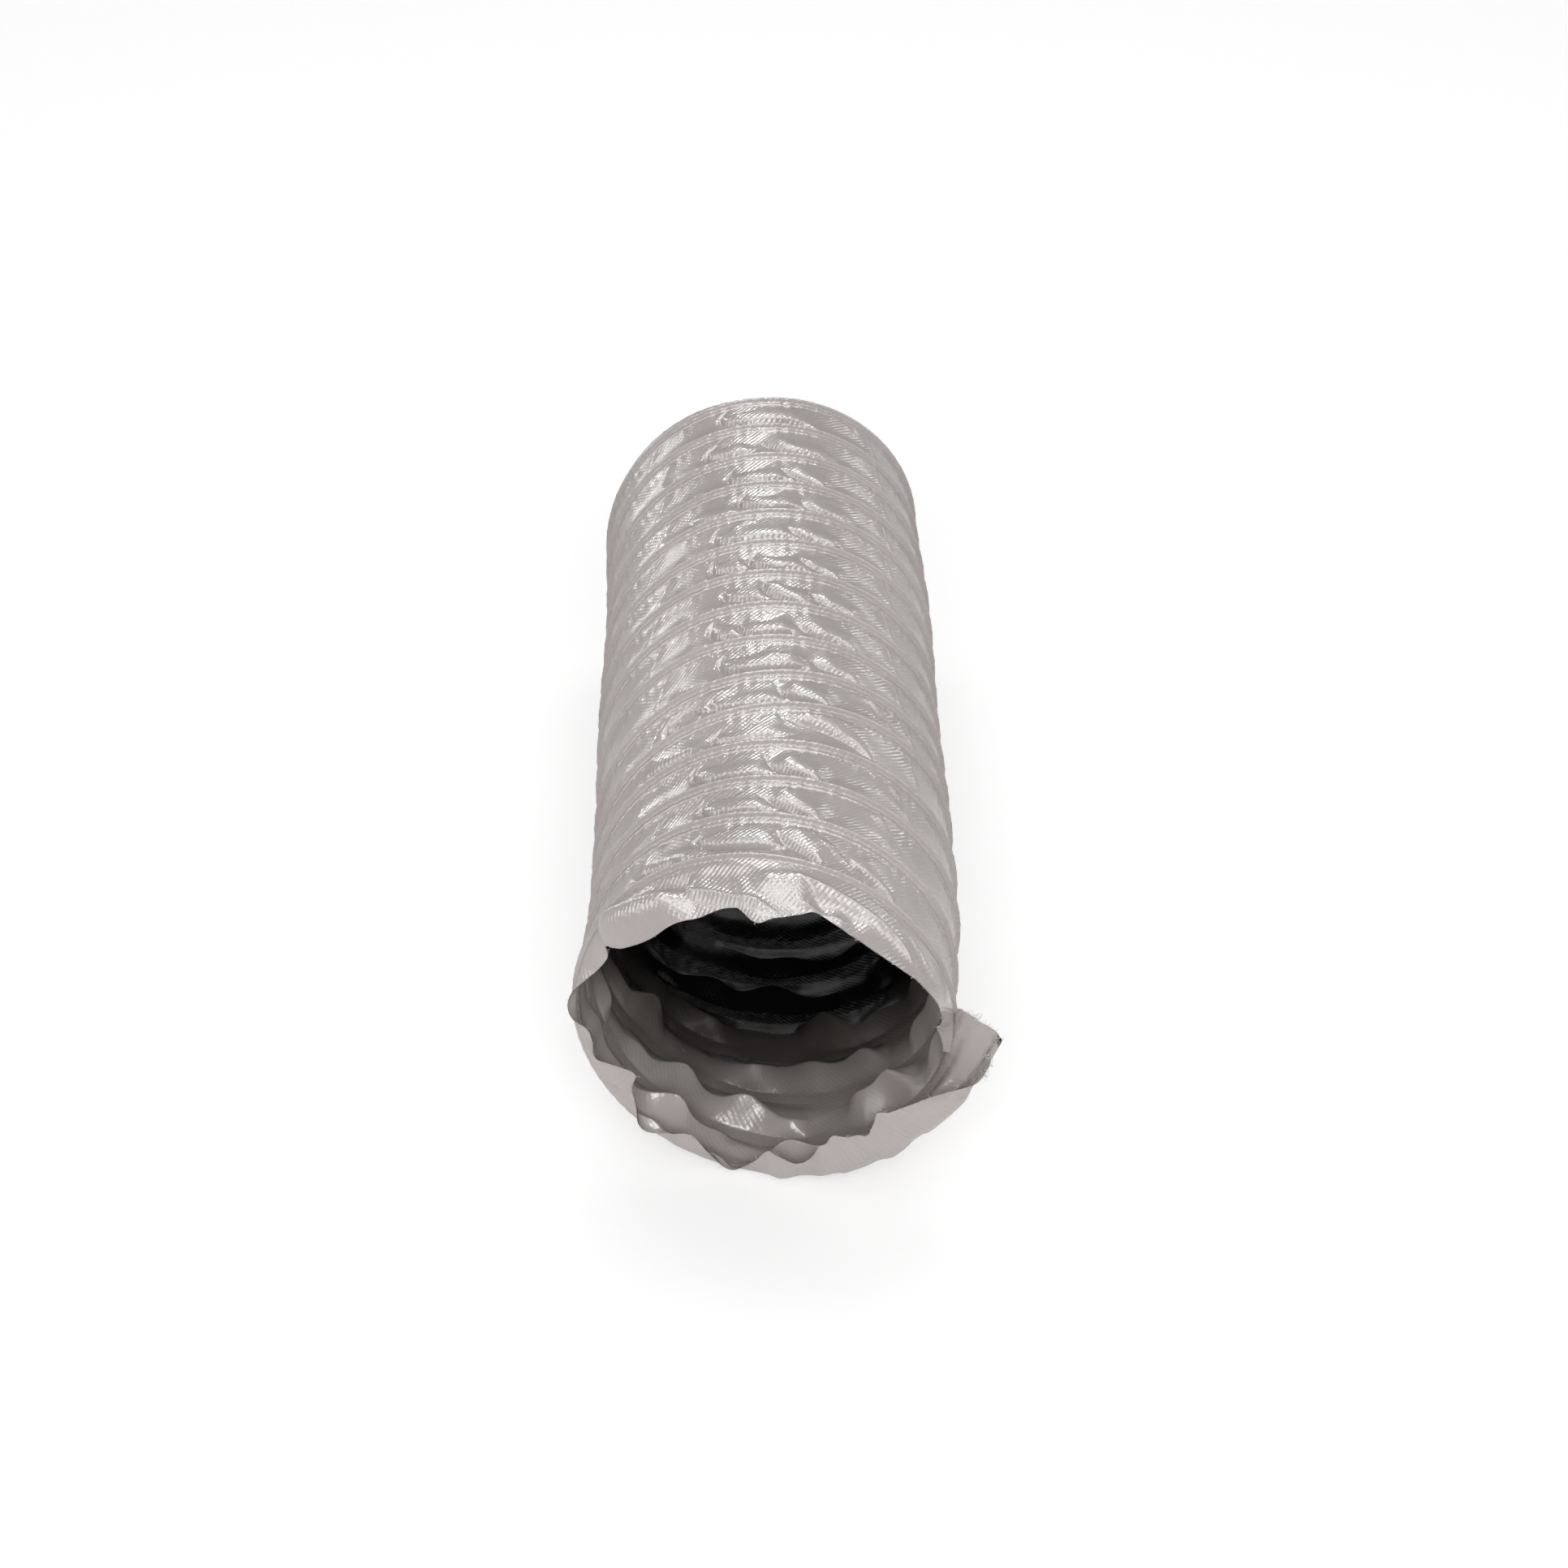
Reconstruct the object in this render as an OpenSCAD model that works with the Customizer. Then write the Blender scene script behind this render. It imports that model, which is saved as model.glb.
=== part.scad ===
// Flexible ventilation duct, nominal bore 150 mm, stretched out and lying on its side.
//
// One long strip of PVC-coated polyester is wound in a helix. The far edge of each turn
// of the strip is lapped over a spring-steel wire and welded down on the turn before it,
// so the wire sits in a closed pocket and stands up as a ridge. The strip between two
// ridges is free to fold, which is what lets the duct stretch, close up and bend.
//
// Frame: the duct runs along Y and its mouth looks along -Y. The ridges stand on z = 0.
// Angles run round the duct from the top (0) over the right side, +X (90), to the floor
// (180). The helix moves away from the mouth as the angle grows.
//
// Round shapes that follow the helix are made of flat facets. A radius given to them is
// the radius at the middle of a facet, so the bottom facet of each ridge is a flat foot.

/* [Duct] */
// Inside diameter of the duct, the size it is sold by
bore_d = 150; // [125:5:200]
// Distance from one wire turn to the next with the duct stretched out
pitch = 29; // [27:1:34]
// Thickness of the coated fabric
fabric_t = 0.5; // [0.4:0.1:0.7]
// How far the free fabric sags inward between two ridges
web_sag = 1.2; // [0:0.2:2.4]

/* [Wire and weld] */
// Diameter of the spring-steel wire
wire_d = 1.8; // [1.4:0.2:2.2]
// Play between the wire and its pocket
wire_play = 0.15; // [0.1:0.05:0.3]
// Width of the lapped edge on the mouth side of the wire
lap_w = 4; // [3.5:0.5:6]
// Width of the welded band that each wire turn holds stiff
band_w = 16; // [14:1:17]

/* [Mouth end] */
// Mean distance of the cut edge in front of the first ridge
mouth_len = 30; // [28:1:36]
// How much further the cut edge reaches over the top than below
mouth_slant = 9; // [6:1:10]
// Angle at which the cut strip leaves the duct and becomes the loose tail
tail_from = -226; // [-232:1:-220]
// Angle at which the loose tail ends
tail_end = -262; // [-268:1:-256]
// How far the end of the tail stands off the duct
tail_out = 13; // [6:1:16]

/* [Far end] */
// Mean distance of the cut edge behind the last ridge
far_len = 19.5; // [19.5:0.5:26]
// How much further the cut edge reaches below than over the top
far_slant = 7; // [5:0.5:7]

/* [Cut edges] */
// Height of the ragged waves along both cut edges
ragged = 1.2; // [0:0.2:1.6]

/* [Hidden] */
turns = 15;
facets = 28;
step = 360 / facets;
turn_from = -180 + step / 2;
turn_to = turn_from + 360;

// play between pieces
seam = 0.15;
turn_gap = 1.2;
weld_gap = 0.1;
facet_play = 0.1;

// radii from the bore outward
bore_r = bore_d / 2;
skin_r = bore_r + facet_play;
skin_out_r = skin_r + fabric_t;
wire_r = wire_d / 2;
wire_c_r = skin_out_r + weld_gap + wire_r;
pocket_r = wire_c_r + wire_r + wire_play;
ridge_r = pocket_r + fabric_t;
lap_r = skin_out_r + weld_gap + fabric_t;
pocket_half = wire_r + 2 * wire_play;
pocket_top_half = wire_r * 0.75 + wire_play;
ridge_foot = pocket_half + fabric_t;
ridge_top_half = pocket_top_half + fabric_t * 0.3;

band_half = band_w / 2;
end_trim = turn_gap / bore_r * 180 / PI;

function pmod(a, b) = a - b * floor(a / b);
// how far a point at radius r moves out towards a corner of the facets
function facet_r(r, th) = r / cos(pmod(th - turn_from, step) - step / 2);
function helix_y(th) = pitch * th / 360;
function tail_lift(th) = th > tail_from ? 0 : tail_out * pow((tail_from - th) / (tail_from - tail_end), 2);
function point(th, y, r) = [facet_r(r, th) * sin(th), y, facet_r(r, th) * cos(th)];

// angles of the facet corners between two ends
function corners(a, b) = [for (i = [ceil((a - turn_from) / step + 0.05) : floor((b - turn_from) / step - 0.05)])
    turn_from + i * step];
function angles(a, b) = concat([a], corners(a, b), [b]);

// waves of the two cut edges
function waves(th) = ragged * (0.6 * sin(7 * th + 20) + 0.4 * sin(13 * th));
function mouth_edge(th) = -mouth_len - mouth_slant * cos(th - 35) + waves(th);
function far_edge(th) = far_len - far_slant * cos(th + 20) + waves(th);

// places along the axis, from the first ridge at the top
function turn_y(k) = (k - 1) * pitch;
cuff_from = turn_from + end_trim;
mouth_cuff_to = 98;
far_cuff_to = turn_to - end_trim;
cuff_step = 6;
mouth_angles = concat([for (a = [cuff_from : cuff_step : mouth_cuff_to - 1]) a], [mouth_cuff_to]);
far_angles = concat([for (a = [cuff_from : cuff_step : far_cuff_to - 1]) a], [far_cuff_to]);
front_y = min([for (a = mouth_angles) mouth_edge(a)]);
back_y = turn_y(turns) + max([for (a = far_angles) far_edge(a)]);
side_x = max([for (a = angles(tail_end, turn_to)) facet_r(ridge_r + tail_lift(a), a) * sin(a)]);
left_x = -min([for (a = angles(turn_from, turn_to)) facet_r(ridge_r, a) * sin(a)]);

// the box of the part is centred on the origin and stands on z = 0
axis_x = (left_x - side_x) / 2;
axis_z = ridge_r;
first_y = -(front_y + back_y) / 2;

fabric_color = [0.73, 0.70, 0.69];
lap_color = [0.76, 0.73, 0.72];
wire_color = [0.55, 0.56, 0.58];

// outline of the lapped ridge: [distance along the axis, radius]
ridge_section = [
    [-band_half, skin_r],
    [band_half, skin_r],
    [band_half, skin_out_r],
    [ridge_foot, lap_r],
    [ridge_top_half, ridge_r - fabric_t * 0.5],
    [0, ridge_r],
    [-ridge_top_half, ridge_r - fabric_t * 0.5],
    [-ridge_foot, lap_r],
    [-lap_w, lap_r],
    [-lap_w, skin_out_r + weld_gap],
    [-pocket_half, skin_out_r + weld_gap],
    [-pocket_top_half, pocket_r],
    [pocket_top_half, pocket_r],
    [pocket_half, skin_out_r],
    [-band_half, skin_out_r]
];
// the same outline cut into triangles, for its two ends
ridge_cap = [
    [0, 1, 13], [1, 2, 13], [0, 13, 14],
    [2, 3, 13], [3, 12, 13], [3, 4, 12],
    [4, 5, 12], [5, 11, 12], [5, 6, 11],
    [6, 7, 11], [7, 10, 11], [7, 8, 10], [8, 9, 10]
];
wire_section = [for (i = [0 : 5]) [wire_r * cos(60 * i), wire_c_r + wire_r * sin(60 * i)]];
wire_cap = [[0, 1, 2, 3, 4, 5]];
web_from = band_half + seam;
web_to = pitch - band_half - seam;
web_mid = (web_from + web_to) / 2;
web_cap = [[0, 1, 4, 5], [1, 2, 3, 4]];

// outline of the free strip between two ridges, which sags in the middle
function web_section(sag) = [
    [web_from, skin_r],
    [web_mid, skin_r - sag],
    [web_to, skin_r],
    [web_to, skin_out_r],
    [web_mid, skin_out_r - sag],
    [web_from, skin_out_r]
];

// a spigot pushed into either end reaches past these angles of the first and the last free
// strip, so the strip is held straight up to there and sags freely sag_turn further on
mouth_held_to = -95;
far_held_from = 20;
sag_turn = 80;
function share(x) = min(1, max(0, x));
function free_sag(k, th) = web_sag * (k == 1 ? share((th - mouth_held_to) / sag_turn)
    : k == turns - 1 ? share((far_held_from - th) / sag_turn) : 1);

// a closed solid through a row of rings, all with the same number of points
module skin_over(rings, cap) {
    m = len(rings[0]);
    last = (len(rings) - 1) * m;
    sides = [for (k = [0 : len(rings) - 2], j = [0 : m - 1])
        let (a = k * m + j, b = k * m + (j + 1) % m)
        each [[a, b + m, b], [a, a + m, b + m]]];
    first_cap = [for (face = cap) face];
    last_cap = [for (face = cap) [for (i = [len(face) - 1 : -1 : 0]) last + face[i]]];
    polyhedron(
        points = [for (ring = rings) each ring],
        faces = concat(first_cap, sides, last_cap)
    );
}

// a section set on the helix at one angle, at y from the first ridge
function helix_ring(section, y, th) =
    [for (p = section) point(th, y + helix_y(th) + p[0], p[1] + tail_lift(th))];

// the same section carried along the helix between two angles
module along_helix(section, cap, y, from, to) {
    skin_over([for (th = angles(from, to)) helix_ring(section, y, th)], cap);
}

// the whole part moved so that its box is centred
module placed() {
    translate([axis_x, first_y, axis_z]) {
        children();
    }
}

// first angle of a turn: the first one runs on round the mouth to the loose tail
function turn_start(k) = k == 1 ? tail_end : turn_from + end_trim;

module fabric_turn(k) {
    color(lap_color)
        placed()
            along_helix(ridge_section, ridge_cap, turn_y(k), turn_start(k), turn_to - end_trim);
}

module wire_turn(k) {
    color(wire_color)
        placed()
            along_helix(wire_section, wire_cap, turn_y(k), turn_start(k), turn_to - end_trim);
}

module fabric_web(k) {
    color(fabric_color)
        placed()
            skin_over([for (th = angles(turn_from + end_trim, turn_to - end_trim))
                helix_ring(web_section(free_sag(k, th)), turn_y(k), th)], web_cap);
}

// the free strip between the first turn and the wire that runs on round the mouth
module mouth_web() {
    color(fabric_color)
        placed()
            along_helix(web_section(0), web_cap, turn_y(1), tail_from, turn_from - end_trim);
}

// a thin round wall between two edges that change with the angle
module cuff(rows) {
    low = min([for (row = rows) min(row[1], row[2])]);
    high = max([for (row = rows) max(row[1], row[2])]);
    near_r = bore_r - 4;
    off_r = bore_r + 4;
    intersection() {
        translate([0, high + 1, 0])
            rotate([90, 0, 0])
                difference() {
                    cylinder(r = bore_r + fabric_t, h = high - low + 2, $fn = 180);
                    translate([0, 0, -1])
                        cylinder(r = bore_r, h = high - low + 4, $fn = 180);
                }
        skin_over([for (row = rows)
            [for (p = [[row[1], near_r], [row[2], near_r], [row[2], off_r], [row[1], off_r]])
                [p[1] * sin(row[0]), p[0], p[1] * cos(row[0])]]], [[0, 1, 2, 3]]);
    }
}

// the strip in front of the first ridge, cut off unevenly
module mouth_cuff() {
    color(fabric_color)
        placed()
            cuff([for (a = mouth_angles) [a, mouth_edge(a), helix_y(a) - band_half - seam]]);
}

// the strip behind the last ridge, cut off unevenly
module far_cuff() {
    color(fabric_color)
        placed()
            translate([0, turn_y(turns), 0])
                cuff([for (a = far_angles) [a, helix_y(a) + band_half + seam, far_edge(a)]]);
}

mouth_cuff();
mouth_web();
far_cuff();
fabric_turn(1);  // fabric_turn_01
fabric_turn(2);  // fabric_turn_02
fabric_turn(3);  // fabric_turn_03
fabric_turn(4);  // fabric_turn_04
fabric_turn(5);  // fabric_turn_05
fabric_turn(6);  // fabric_turn_06
fabric_turn(7);  // fabric_turn_07
fabric_turn(8);  // fabric_turn_08
fabric_turn(9);  // fabric_turn_09
fabric_turn(10);  // fabric_turn_10
fabric_turn(11);  // fabric_turn_11
fabric_turn(12);  // fabric_turn_12
fabric_turn(13);  // fabric_turn_13
fabric_turn(14);  // fabric_turn_14
fabric_turn(15);  // fabric_turn_15
wire_turn(1);  // wire_turn_01
wire_turn(2);  // wire_turn_02
wire_turn(3);  // wire_turn_03
wire_turn(4);  // wire_turn_04
wire_turn(5);  // wire_turn_05
wire_turn(6);  // wire_turn_06
wire_turn(7);  // wire_turn_07
wire_turn(8);  // wire_turn_08
wire_turn(9);  // wire_turn_09
wire_turn(10);  // wire_turn_10
wire_turn(11);  // wire_turn_11
wire_turn(12);  // wire_turn_12
wire_turn(13);  // wire_turn_13
wire_turn(14);  // wire_turn_14
wire_turn(15);  // wire_turn_15
fabric_web(1);  // fabric_web_01
fabric_web(2);  // fabric_web_02
fabric_web(3);  // fabric_web_03
fabric_web(4);  // fabric_web_04
fabric_web(5);  // fabric_web_05
fabric_web(6);  // fabric_web_06
fabric_web(7);  // fabric_web_07
fabric_web(8);  // fabric_web_08
fabric_web(9);  // fabric_web_09
fabric_web(10);  // fabric_web_10
fabric_web(11);  // fabric_web_11
fabric_web(12);  // fabric_web_12
fabric_web(13);  // fabric_web_13
fabric_web(14);  // fabric_web_14
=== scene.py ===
# %% [markdown]
# # A flexible ventilation duct, dressed
#
# The duct is one long strip of PVC-coated polyester wound in a helix. Its edge is lapped over a
# spring-steel wire and welded down, so the wire stands up as a ridge, and the strip between two
# ridges buckles into soft folds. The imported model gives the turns, the joints and the sizes.
# This script lays a finely meshed skin over them and cuts it where the duct closes up and bends.

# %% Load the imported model
import bpy
import math
import numpy as np
from mathutils import Matrix, Vector


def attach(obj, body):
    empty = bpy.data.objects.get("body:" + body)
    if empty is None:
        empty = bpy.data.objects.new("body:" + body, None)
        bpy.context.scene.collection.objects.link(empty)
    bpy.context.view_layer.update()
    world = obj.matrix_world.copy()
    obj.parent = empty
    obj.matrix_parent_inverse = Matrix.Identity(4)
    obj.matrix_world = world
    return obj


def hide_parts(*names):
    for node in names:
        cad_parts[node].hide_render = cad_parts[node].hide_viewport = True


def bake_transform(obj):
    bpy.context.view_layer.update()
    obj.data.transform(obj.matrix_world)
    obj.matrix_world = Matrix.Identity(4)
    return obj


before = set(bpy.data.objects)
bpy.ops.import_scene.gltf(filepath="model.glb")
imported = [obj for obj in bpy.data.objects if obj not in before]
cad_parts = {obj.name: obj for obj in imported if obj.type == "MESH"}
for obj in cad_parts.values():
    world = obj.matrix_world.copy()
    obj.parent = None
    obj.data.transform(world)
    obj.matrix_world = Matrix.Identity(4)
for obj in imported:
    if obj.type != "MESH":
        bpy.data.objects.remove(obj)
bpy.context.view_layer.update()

# %% [markdown]
# ## Sizes
#
# Everything is worked out in millimetres and turned into metres when a mesh is made. The
# helix comes from three numbers: the bore, the pitch and the number of turns.
# Angles run round the duct from the top (0) over the right side (90) to the floor (180).

# %% Sizes of the strip and the wire, in mm
MM = 0.001
TURNS = 15
PITCH = 29.0
SKIN_R = 75.6  # outside of the plain strip; the bore is 150
FABRIC = 0.5
RIDGE_R = 78.15
WIRE_R = 0.9
WIRE_CENTRE_R = 76.35
AXIS_Z = 78.15
AXIS_X = -5.87
FIRST_Y = -196.893  # top of the first full turn
TAIL_FROM = 85.0  # degrees: the run-on turn at the mouth starts at its loose tail here
TIP_AT = 92.0

# %% [markdown]
# ## Where the wire runs
#
# A real duct lies a little uneven: each turn sits a few millimetres off the even pitch and
# leans a little. Two short lists say how much, one value for each turn from the mouth.
# The first turn leans most, because the cut end has been pulled about.

# %% The wire's line
TURN_DRIFT = [0, 1.1, -0.3, -1.4, -0.6, -2.9, -1.6, -0.7, -0.6, -0.9, -0.5, -1.2, -1.2, 0.6, -0.3]
TURN_LEAN = [-15.8, -11.5, -7.8, -5.2, 4.9, 2.0, -2.2, -0.4, 0.8, 2.2, 1.3, 1.2, 2.0, 2.1, 5.3]
SWAY_AT = [-247, -200, -153, -75, 20, 114, 224]
SWAY = [4.4, -2.2, 1.5, 1.8, -0.4, -0.6, -4.4]
RUN_ON_SLOPE, RUN_ON_BEND = 8.66, 1.327  # the run-on turn at the mouth, mm per radian and its square
FLARE_OUT, FLARE_FROM, FLARE_OVER, FLARE_POWER = 11, -232, 36, 1.6  # mm and degrees


def through(x, xs, ys):
    """A smooth curve through a few points, level at both ends."""
    xs, ys = np.asarray(xs, float), np.asarray(ys, float)
    slope = np.gradient(ys, xs)
    slope[0] = slope[-1] = 0
    i = np.clip(np.searchsorted(xs, x) - 1, 0, len(xs) - 2)
    h = xs[i + 1] - xs[i]
    t = np.clip((x - xs[i]) / h, 0, 1)
    a = (1 + 2 * t) * (1 - t) ** 2 * ys[i] + t * (1 - t) ** 2 * h * slope[i]
    return a + t * t * (3 - 2 * t) * ys[i + 1] + t * t * (t - 1) * h * slope[i + 1]


def wire_y(turn_angle):
    """Place of the wire along the duct; the angle runs on through all the turns."""
    t = np.asarray(turn_angle, float) / 360
    index = np.arange(TURNS)
    y = FIRST_Y + PITCH * t + np.interp(t, index, TURN_DRIFT)
    y = y + np.interp(t, index, TURN_LEAN) * np.sin(2 * np.pi * t)
    before = np.maximum(0, -np.pi / 2 - 2 * np.pi * t)
    return y + RUN_ON_SLOPE * before - RUN_ON_BEND * before ** 2


def flare(turn_angle):
    """The cut end of the helix springs outwards: extra radius of the wire, in mm."""
    past = np.maximum(0, FLARE_FROM - np.asarray(turn_angle, float))
    return FLARE_OUT * (past / FLARE_OVER) ** FLARE_POWER


def axis_x(y):
    """The duct's middle line wanders a little from side to side."""
    return AXIS_X + through(y, SWAY_AT, SWAY)


print("ridge tops, mm:", [round(float(wire_y(360 * k)), 1) for k in range(TURNS)])

# %% [markdown]
# ## The ridge and its lap
#
# Across the wire the outside of the strip is a small tent over the wire, a groove where the
# weld presses the cloth down, then the flat lapped edge on the mouth side.

# %% The ridge's outline
BEAD_H = 1.5
BEAD_R = 1.0
FLANK_SIN, FLANK_TAN = 0.866, 1.732  # the bead's flanks stand at 60 degrees
TENT_H = 0.8
TENT_W = 2.6
LAP_W = 4.2
LAP_H = 0.45
WELD_D, WELD_AT, WELD_W = 0.3, 2.5, 0.5  # the groove that the weld leaves in the lap


def smooth_step(x, a, b):
    """0 before a, 1 after b, and smooth between them."""
    t = np.clip((x - a) / (b - a), 0, 1)
    return t * t * (3 - 2 * t)


def bead(d):
    """A small round crest with straight flanks and a fillet at the foot, on a low wide tent."""
    d = np.abs(d)
    turned = np.minimum(d, FLANK_SIN * BEAD_R)
    high = BEAD_H - BEAD_R + np.sqrt(BEAD_R ** 2 - turned ** 2) - FLANK_TAN * (d - turned)
    crest = 0.5 * (high + np.sqrt(high ** 2 + 0.03)) * np.exp(-(d / 2.4) ** 4)
    return crest + TENT_H * np.exp(-(d / TENT_W) ** 2)


def lap(d):
    """Height of the lapped edge, d in front of the wire."""
    flat = LAP_H * (1 - smooth_step(d, LAP_W - 0.25, LAP_W + 0.1)) * smooth_step(d, -1.5, 0)
    return flat - WELD_D * np.exp(-((d - WELD_AT) / WELD_W) ** 2)


# %% [markdown]
# ## The folds between the ridges
#
# The free strip is a little too long for the gap, so it buckles. Most folds are tongues: a
# smooth swelling that ends in a rounded lip and dives into a dark crevice at the ridge in
# front of it. Others are sharp creases. Each fold is a short line on the strip: the angle
# round the duct and the share of the gap, from 0 at the ridge in front to 100 at the ridge
# behind. No two gaps are alike, so each gap has its own few folds.

# %% Folds seen on the top of the duct: gap, height in mm, points (angle, share of the gap in percent)
LIPS = [
    (1, 3.0, [(-17, 75), (-20, 52), (-13, 34), (2, 36), (9, 42)]),
    (1, 2.4, [(3, 72), (7, 55), (13, 38), (20, 16)]),
    (1, 2.6, [(26, 62), (31, 45), (38, 34), (46, 10)]),
    (1, 2.2, [(-46, 62), (-40, 30), (-28, 16), (-14, 12)]),
    (2, 2.4, [(-19, 70), (-21, 42), (-15, 22), (-2, 22), (4, 30)]),
    (2, 2.6, [(-4, 62), (3, 42), (9, 26), (18, 8)]),
    (3, 2.4, [(-22, 75), (-25, 50), (-19, 24), (-3, 22), (2, 30)]),
    (3, 3.0, [(-2, 62), (3, 38), (9, 24), (17, 8)]),
    (4, 1.6, [(-12, 60), (-19, 40), (-11, 28), (3, 32), (8, 40)]),
    (4, 2.4, [(2, 82), (10, 66), (19, 55), (29, 36), (36, 10)]),
    (4, 2.6, [(-48, 50), (-40, 30), (-30, 18), (-20, 10)]),
    (5, 2.4, [(-12, 90), (-22, 76), (-34, 52), (-36, 34), (-28, 22)]),
    (5, 2.2, [(-17, 60), (-19, 38), (-13, 24), (2, 22), (7, 30)]),
    (5, 3.0, [(1, 66), (6, 42), (13, 27), (21, 8)]),
    (6, 3.0, [(-12, 78), (-16, 50), (-10, 26), (4, 24), (17, 32)]),
    (6, 2.2, [(13, 60), (19, 40), (26, 30), (31, 8)]),
    (7, 2.4, [(-16, 80), (-19, 52), (-15, 28), (-7, 22)]),
    (7, 2.6, [(-5, 74), (-9, 46), (-5, 24), (6, 28), (13, 42)]),
    (7, 2.6, [(8, 62), (16, 36), (24, 28), (33, 8)]),
    (8, 2.2, [(-14, 72), (-13, 44), (-6, 30), (2, 22)]),
    (8, 2.8, [(5, 82), (0, 66), (2, 40), (11, 18), (18, 10)]),
    (8, 2.2, [(14, 60), (20, 36), (27, 26), (34, 8)]),
    (9, 2.2, [(-17, 72), (-18, 46), (-11, 30), (-5, 34)]),
    (9, 2.8, [(-1, 72), (-5, 46), (2, 22), (12, 18), (18, 10)]),
    (9, 2.0, [(11, 62), (15, 40), (21, 30), (27, 8)]),
    (10, 2.4, [(-14, 80), (-18, 48), (-11, 28), (8, 26), (15, 30)]),
    (10, 2.6, [(6, 60), (13, 34), (21, 20), (28, 5)]),
    (11, 2.8, [(-5, 76), (-9, 48), (0, 24), (11, 30), (16, 36)]),
    (11, 1.8, [(-30, 50), (-24, 28), (-16, 18), (-9, 20)]),
    (11, 2.0, [(11, 62), (17, 36), (25, 26), (32, 8)]),
    (12, 2.2, [(-9, 70), (-13, 40), (-5, 24), (6, 26), (12, 30)]),
    (12, 2.2, [(5, 66), (11, 42), (17, 28), (24, 8)]),
    (13, 2.2, [(-14, 72), (-21, 44), (-14, 28), (-6, 30), (-2, 40)]),
    (13, 2.8, [(-2, 66), (3, 44), (9, 26), (22, 16), (28, 5)]),
    (14, 2.6, [(-8, 90), (-14, 60), (-8, 34), (10, 34), (17, 30), (24, 8)]),
]
CREASES = [
    (1, 1.6, [(14, 70), (22, 50), (30, 25), (36, 5)]),
    (2, 1.6, [(26, 90), (34, 75), (41, 40), (46, 8)]),
    (3, 1.6, [(28, 95), (38, 80), (45, 45), (49, 8)]),
    (5, 1.8, [(24, 85), (34, 72), (40, 36), (43, 8)]),
    (6, 1.3, [(0, 68), (-1, 50), (6, 42), (14, 45)]),
    (10, 1.3, [(-4, 88), (-10, 64), (-15, 50)]),
]
FOLDS = [(gap, kind, high, points) for kind, rows in (("lip", LIPS), ("crease", CREASES))
         for gap, high, points in rows]

# %% [markdown]
# The right flank has a hooked crease in every gap, the left flank a straight one, and the
# parts that face away only a few soft diagonal folds. A fixed seed varies them a little.

# %% Folds of the flanks and the underside
# pits at the left foot of the top folds: gap, angle from, angle to, depth in mm
LEFT_PITS = [
    (1, -46, -24, 2.4), (2, -38, -24, 1.2), (3, -42, -28, 1.4), (4, -50, -22, 2.6), (5, -44, -22, 2.2),
    (6, -36, -20, 1.2), (7, -30, -20, 1.0), (8, -34, -16, 1.4), (9, -34, -20, 1.2), (10, -34, -20, 1.2),
    (12, -32, -18, 1.0), (13, -40, -24, 1.2)]
HOOK_AT, LEFT_AT = 46, -42
FIRST_HOOK = 4  # the gaps in front of this one have their hooks in the list above

for gap, low, high, depth in LEFT_PITS:
    FOLDS.append((gap, "crease", -1.5 * depth, [(low, 26), ((low + high) / 2, 20), (high, 12)]))
chance = np.random.default_rng(7)
for gap in range(1, TURNS):
    hook = HOOK_AT + (7 - gap if FIRST_HOOK <= gap <= 7 else 0) * 2 + chance.uniform(-1.5, 1.5)
    if gap >= FIRST_HOOK:
        FOLDS.append((gap, "crease", 1.5, [(hook - 17, 92), (hook - 5, 84), (hook, 50), (hook + 3, 8)]))
    left = LEFT_AT + chance.uniform(-4, 4)
    FOLDS.append((gap, "crease", 1.2, [(left + 5, 92), (left, 50), (left - 3, 12)]))
    for side in (-1, 1):
        for place in (68, 96, 124, 152):
            at = side * (place + chance.uniform(-8, 8))
            high = chance.uniform(0.5, 1.1)
            FOLDS.append((gap, "soft", high, [(at - 9, 78), (at, 50), (at + 9, 20)]))
print("folds:", len(FOLDS))

# %% [markdown]
# ## The surface as one function
#
# A fold's height at a point depends on the distance from its line. A lip is high on one
# side, falls off softly away from the line, and drops steeply on the other side.

# %% Height of the folds over the plain strip
LIP_ROUND = 6.0
LIP_REACH = 8.0
CREVICE_D, CREVICE_AT, CREVICE_W = 0.75, -2.1, 1.1
CREASE_REACH = 2.6
SOFT_REACH = 8.0
LOBE_REACH = 8.5
FOLD_REACH = 20.0  # no fold is felt farther from its line


def dense_line(points, steps=8):
    """A smooth line through a fold's points."""
    p = np.array(points, float)
    t = np.arange(len(p))
    fine = np.linspace(0, len(p) - 1, (len(p) - 1) * steps + 1)
    i = np.clip(fine.astype(int), 0, len(p) - 2)
    f = (fine - i)[:, None]
    before, after = p[np.maximum(i - 1, 0)], p[np.minimum(i + 2, len(p) - 1)]
    a, b = p[i], p[i + 1]
    return 0.5 * (2 * a + (b - before) * f + (2 * before - 5 * a + 4 * b - after) * f ** 2
                  + (3 * a - 3 * b + after - before) * f ** 3)


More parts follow.
